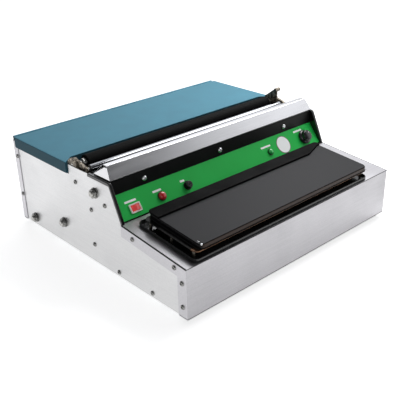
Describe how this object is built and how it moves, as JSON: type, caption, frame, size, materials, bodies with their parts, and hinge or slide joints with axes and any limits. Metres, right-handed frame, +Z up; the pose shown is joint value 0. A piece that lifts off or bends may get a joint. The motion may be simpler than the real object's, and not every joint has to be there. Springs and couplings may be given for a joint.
{
  "type": "film hand wrapper",
  "caption": "Bench-top stretch-film wrapping machine: a steel box with a hinged lid over the film roll, guide rollers, a hot cutter bar, a control panel and a hot sealing plate.",
  "frame": {"origin": "middle of the whole outline in plan, at bench level under the feet", "axes": "+X to the operator's right along the rollers, +Y from the operator to the rear panel, +Z up"},
  "size_m": [0.502, 0.4746, 0.1966],
  "materials": {
    "side_steel": "fine satin stainless sheet",
    "housing_steel": "satin stainless sheet with a fine speckle",
    "inner_steel": "galvanised sheet",
    "panel_black": "semi-gloss black powder coat",
    "label_green": "satin green printed film, bare",
    "cheek_black": "glossy moulded plastic",
    "lid_blue": "satin blue-grey lid sheet",
    "hinge_steel": "rolled stainless hinge strip",
    "screw_steel": "bright plated screws and nuts",
    "foot_rubber": "moulded rubber",
    "gland_nylon": "black nylon",
    "core_steel": "varnished laminations and winding",
    "terminal_white": "moulded nylon",
    "axle_steel": "ground steel",
    "knob_black": "moulded plastic",
    "switch_white": "moulded plastic",
    "rocker_red": "translucent red plastic",
    "lamp_black": "moulded plastic",
    "lens_red": "translucent red dome",
    "lens_green": "translucent green dome",
    "fuse_black": "moulded plastic",
    "disc_white": "bare round printed plate",
    "tray_dark": "dark coated steel",
    "post_brass": "nickelled brass",
    "pan_brown": "heat-tinted steel",
    "plate_aluminium": "cast aluminium",
    "plate_cloth": "dark grey non-stick sheet",
    "heater_mica": "mica",
    "insulation_board": "fibre board",
    "strip_black": "semi-gloss black",
    "bar_steel": "polished stainless",
    "strip_board": "black insulating strip",
    "tube_grey": "grey plastic tube",
    "bush_nylon": "white nylon",
    "bracket_zinc": "dull zinc-plated steel",
    "roller_rubber": "ground black rubber",
    "roller_chrome": "bright plated tube"
  },
  "bodies": {
    "frame": {"axle_nuts": "screw_steel", "base_pan": "inner_steel", "blank_disc": "disc_white", "cable_gland": "gland_nylon", "control_panel": "panel_black", "cutter_bar": "bar_steel", "cutter_rod": "axle_steel", "cutter_strip": "strip_board", "deck_screws": "screw_steel", "feet": "foot_rubber", "front_axle": "axle_steel", "front_housing": "housing_steel", "fuse_holder": "fuse_black", "green_lamp_holder": "lamp_black", "green_lamp_lens": "lens_green", "heater_element": "heater_mica", "heater_pan": "pan_brown", "heating_plate": "plate_aluminium", "hinge_pin": "hinge_steel", "hot_plate_posts": "post_brass", "hot_plate_tray": "tray_dark", "insulation_board": "insulation_board", "left_bracket": "bracket_zinc", "left_cheek": "cheek_black", "left_side_plate": "side_steel", "panel_label": "label_green", "partition": "inner_steel", "plate_cover": "plate_cloth", "rear_axle": "axle_steel", "rear_hinge_leaf": "hinge_steel", "rear_panel": "housing_steel", "rear_strip": "strip_black", "red_lamp_holder": "lamp_black", "red_lamp_lens": "lens_red", "right_bracket": "bracket_zinc", "right_cheek": "cheek_black", "right_side_plate": "side_steel", "side_screws": "screw_steel", "switch_housing": "switch_white", "terminal_block": "terminal_white", "thermostat": "inner_steel", "tie_rod": "axle_steel", "transformer": "core_steel"},
    "lid": {"lid": "lid_blue", "lid_hinge_leaf": "hinge_steel"},
    "front_roller": {"front_film_roller": "tube_grey", "front_film_bushes": "bush_nylon"},
    "rear_roller": {"rear_film_roller": "tube_grey", "rear_film_bushes": "bush_nylon"},
    "arms": {"left_arm": "bracket_zinc", "right_arm": "bracket_zinc", "white_roller_spindle": "axle_steel", "finger_tab": "bracket_zinc"},
    "white_roller": {"white_roller": "roller_chrome"},
    "black_roller": {"black_roller": "roller_rubber", "black_roller_shaft": "axle_steel"},
    "knob": {"temperature_knob": "knob_black", "knob_spindle": "axle_steel"},
    "rocker": {"switch_rocker": "rocker_red"},
    "fuse_cap": {"fuse_cap": "fuse_black"}
  },
  "joints": [
    {"name": "lid_hinge", "type": "hinge", "parent": "frame", "child": "lid", "pos_m": [0, 0.22205, 0.1688], "axis": [-1, 0, 0], "range_deg": [0, 105]},
    {"name": "arms_lift", "type": "hinge", "parent": "frame", "child": "arms", "pos_m": [0, 0.036, 0.168], "axis": [-1, 0, 0], "range_deg": [0, 85]},
    {"name": "white_roller_spin", "type": "hinge", "parent": "arms", "child": "white_roller", "pos_m": [0, 0.0085, 0.1665], "axis": [1, 0, 0], "continuous": true},
    {"name": "black_roller_spin", "type": "hinge", "parent": "frame", "child": "black_roller", "pos_m": [0, 0.036, 0.168], "axis": [1, 0, 0], "continuous": true},
    {"name": "front_film_spin", "type": "hinge", "parent": "frame", "child": "front_roller", "pos_m": [0, 0.0793, 0.0515], "axis": [1, 0, 0], "continuous": true},
    {"name": "rear_film_spin", "type": "hinge", "parent": "frame", "child": "rear_roller", "pos_m": [0, 0.1795, 0.0247], "axis": [1, 0, 0], "continuous": true},
    {"name": "knob_turn", "type": "hinge", "parent": "frame", "child": "knob", "pos_m": [0.2035, -0.07506, 0.12544], "axis": [0, 0.788, -0.6157], "range_deg": [0, 300]},
    {"name": "rocker_tip", "type": "hinge", "parent": "frame", "child": "rocker", "pos_m": [-0.2065, -0.07766, 0.12049], "axis": [0, 0.6157, 0.788], "range_deg": [0, 20]},
    {"name": "fuse_cap_turn", "type": "hinge", "parent": "frame", "child": "fuse_cap", "pos_m": [-0.097, -0.07709, 0.12284], "axis": [0, -0.788, 0.6157], "range_deg": [0, 90]}
  ]
}
